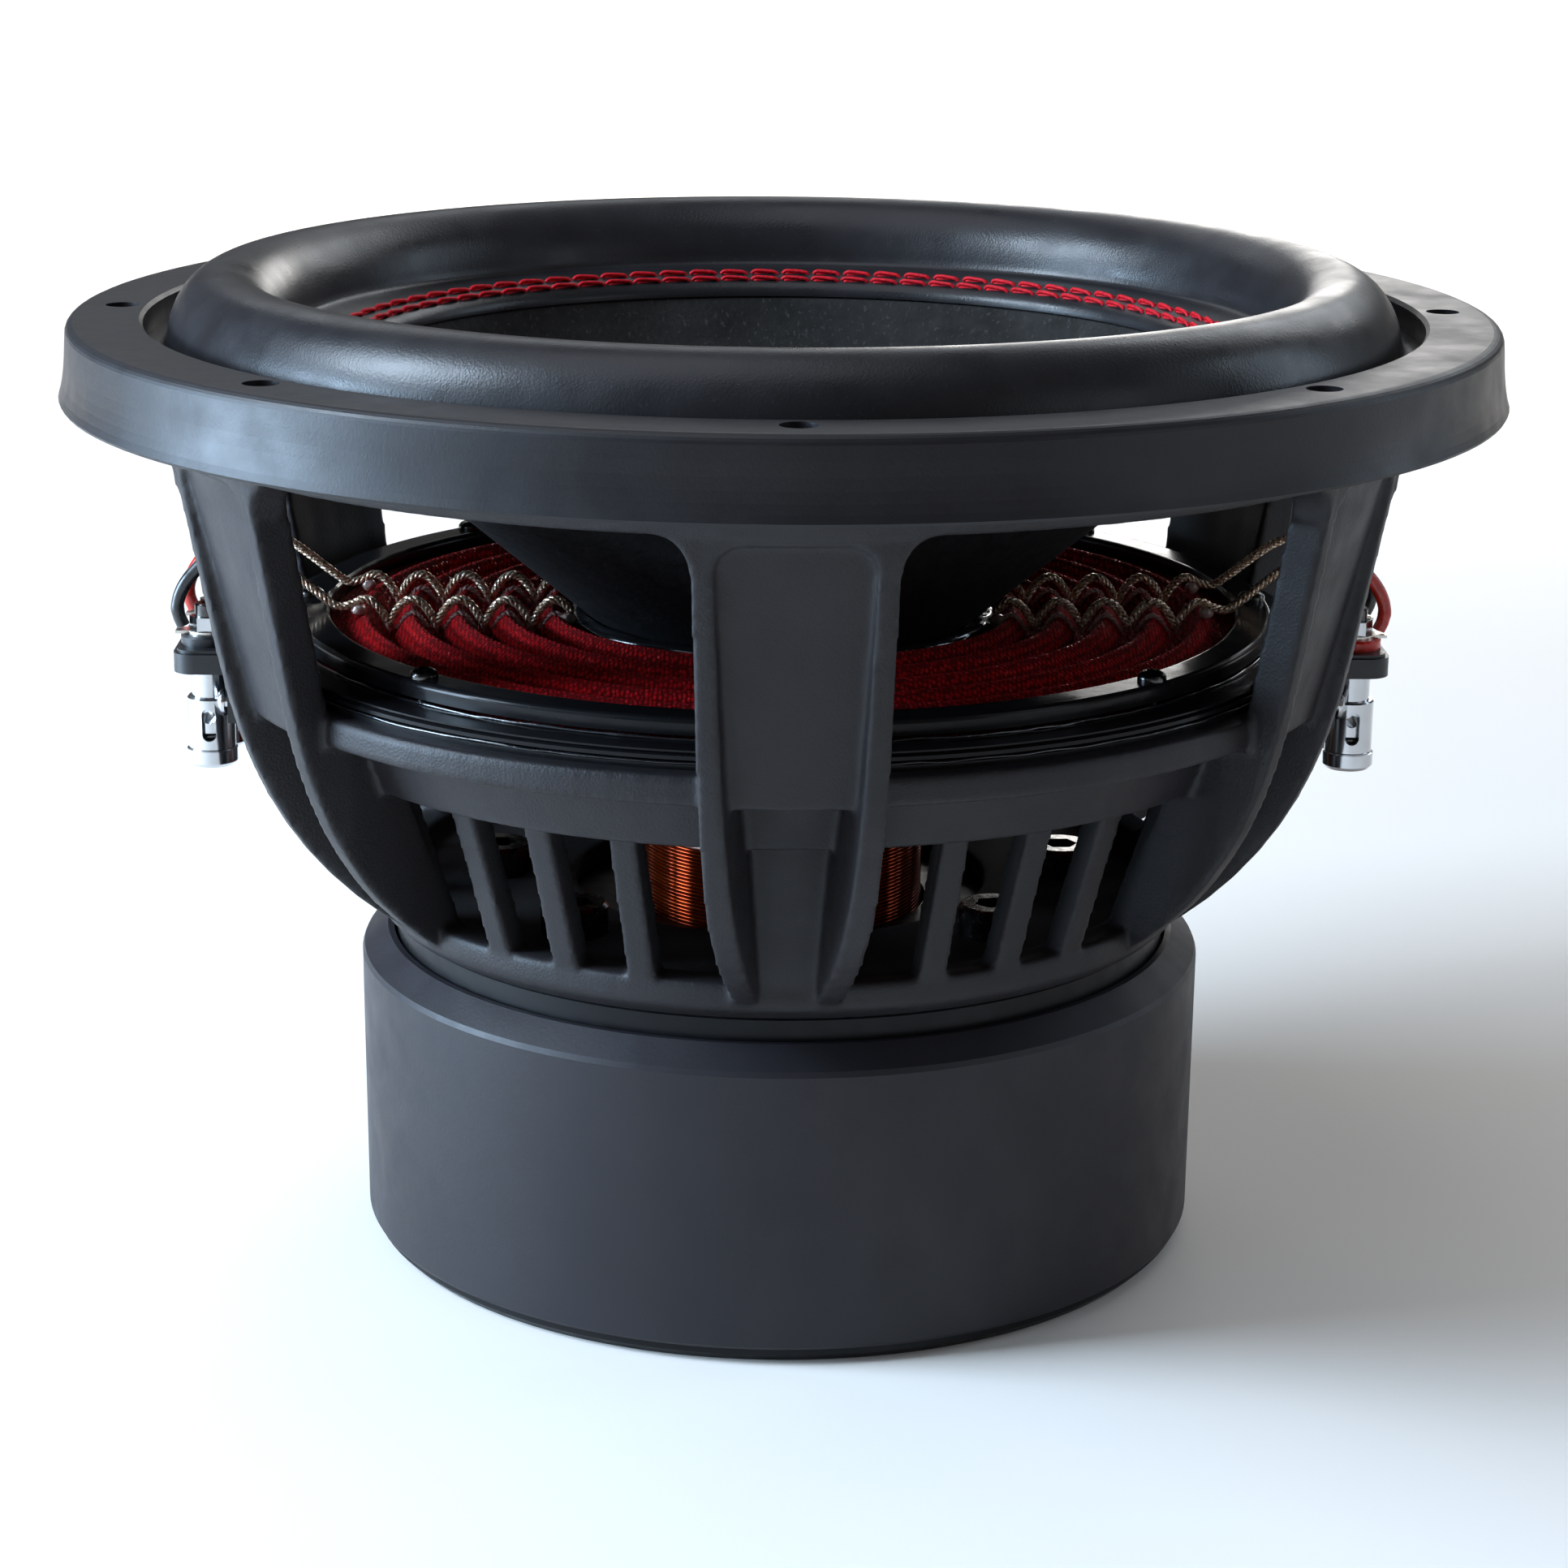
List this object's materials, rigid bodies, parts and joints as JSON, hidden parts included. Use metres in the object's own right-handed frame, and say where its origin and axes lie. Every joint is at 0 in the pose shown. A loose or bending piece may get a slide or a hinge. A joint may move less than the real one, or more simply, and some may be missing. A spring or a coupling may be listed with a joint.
{
  "type": "car subwoofer driver",
  "caption": "Round car subwoofer driver: cone in a rubber roll surround on a cast basket, red woven spider, copper voice coil, heavy booted magnet motor and push terminals.",
  "frame": {"origin": "centre of the motor's foot, on the surface that the driver stands on", "axes": "+Z along the driver's axis, out of the cone; -Y is the front as shown, between the two pairs of terminals at +X and -X"},
  "size_m": [0.3242, 0.3242, 0.2256],
  "materials": {
    "cast_black": "fine-textured powder coat",
    "rubber_satin": "satin moulded rubber",
    "rubber_boot": "matte moulded rubber",
    "thread_red": "twisted thread",
    "cone_paper": "matte pressed fibre",
    "glue_black": "wet-looking adhesive",
    "former_foil": "satin foil",
    "winding_copper": "enamelled copper wire",
    "spider_cloth": "woven, resin-set",
    "ring_black": "glossy",
    "screw_black": "black oxide, oiled",
    "plate_black": "satin e-coat",
    "ferrite": "sintered, ground",
    "chrome": "polished",
    "spring_steel": "drawn wire",
    "tinsel": "tinned copper braid",
    "wire_red": "silicone jacket",
    "wire_black": "silicone jacket",
    "bracket_plastic": "semi-gloss moulded",
    "collar_red": "glossy moulded"
  },
  "bodies": {
    "frame": {"basket": "cast_black", "mounting_gasket": "rubber_satin", "surround": "rubber_satin", "spider": "spider_cloth", "spider_spacer_ring": "ring_black", "spider_clamp_ring": "ring_black", "clamp_ring_screws": "screw_black", "top_plate": "plate_black", "magnet_upper": "ferrite", "magnet_middle": "ferrite", "magnet_lower": "ferrite", "pole_yoke": "plate_black", "motor_boot": "rubber_boot", "basket_bolts": "chrome", "terminal_bracket_left": "bracket_plastic", "terminal_bracket_right": "bracket_plastic", "bracket_screws": "chrome", "terminal_posts_left": "chrome", "terminal_posts_right": "chrome", "terminal_collars_red": "collar_red", "terminal_collars_black": "bracket_plastic", "terminal_lugs": "tinsel", "terminal_nuts": "chrome", "terminal_caps": "screw_black", "lead_left_front": "tinsel", "lead_sleeve_left_front": "wire_black", "push_spring_left_front": "spring_steel", "lead_left_rear": "tinsel", "lead_sleeve_left_rear": "wire_red", "push_spring_left_rear": "spring_steel", "lead_right_front": "tinsel", "lead_sleeve_right_front": "wire_red", "push_spring_right_front": "spring_steel", "lead_right_rear": "tinsel", "lead_sleeve_right_rear": "wire_black", "push_spring_right_rear": "spring_steel"},
    "cone_assembly": {"cone": "cone_paper", "cone_rim": "cone_paper", "dust_cap": "cone_paper", "neck_glue": "glue_black", "coil_former": "former_foil", "coil_winding": "winding_copper", "surround_stitching": "thread_red"},
    "push_left_front": {"push_sleeve_left_front": "chrome"},
    "push_left_rear": {"push_sleeve_left_rear": "chrome"},
    "push_right_front": {"push_sleeve_right_front": "chrome"},
    "push_right_rear": {"push_sleeve_right_rear": "chrome"}
  },
  "joints": [
    {"name": "cone_stroke", "type": "slide", "parent": "frame", "child": "cone_assembly", "axis": [0, 0, 1], "range_m": [-0.016, 0.016], "stiffness_N_per_m": 5000, "deforming": ["surround", "spider", "lead_left_front", "lead_left_rear", "lead_right_front", "lead_right_rear"]},
    {"name": "push_left_front_travel", "type": "slide", "parent": "frame", "child": "push_left_front", "axis": [0, 0, 1], "range_m": [0, 0.0045], "stiffness_N_per_m": 600, "springref_m": -0.002, "deforming": ["push_spring_left_front"]},
    {"name": "push_left_rear_travel", "type": "slide", "parent": "frame", "child": "push_left_rear", "axis": [0, 0, 1], "range_m": [0, 0.0045], "stiffness_N_per_m": 600, "springref_m": -0.002, "deforming": ["push_spring_left_rear"]},
    {"name": "push_right_front_travel", "type": "slide", "parent": "frame", "child": "push_right_front", "axis": [0, 0, 1], "range_m": [0, 0.0045], "stiffness_N_per_m": 600, "springref_m": -0.002, "deforming": ["push_spring_right_front"]},
    {"name": "push_right_rear_travel", "type": "slide", "parent": "frame", "child": "push_right_rear", "axis": [0, 0, 1], "range_m": [0, 0.0045], "stiffness_N_per_m": 600, "springref_m": -0.002, "deforming": ["push_spring_right_rear"]}
  ]
}
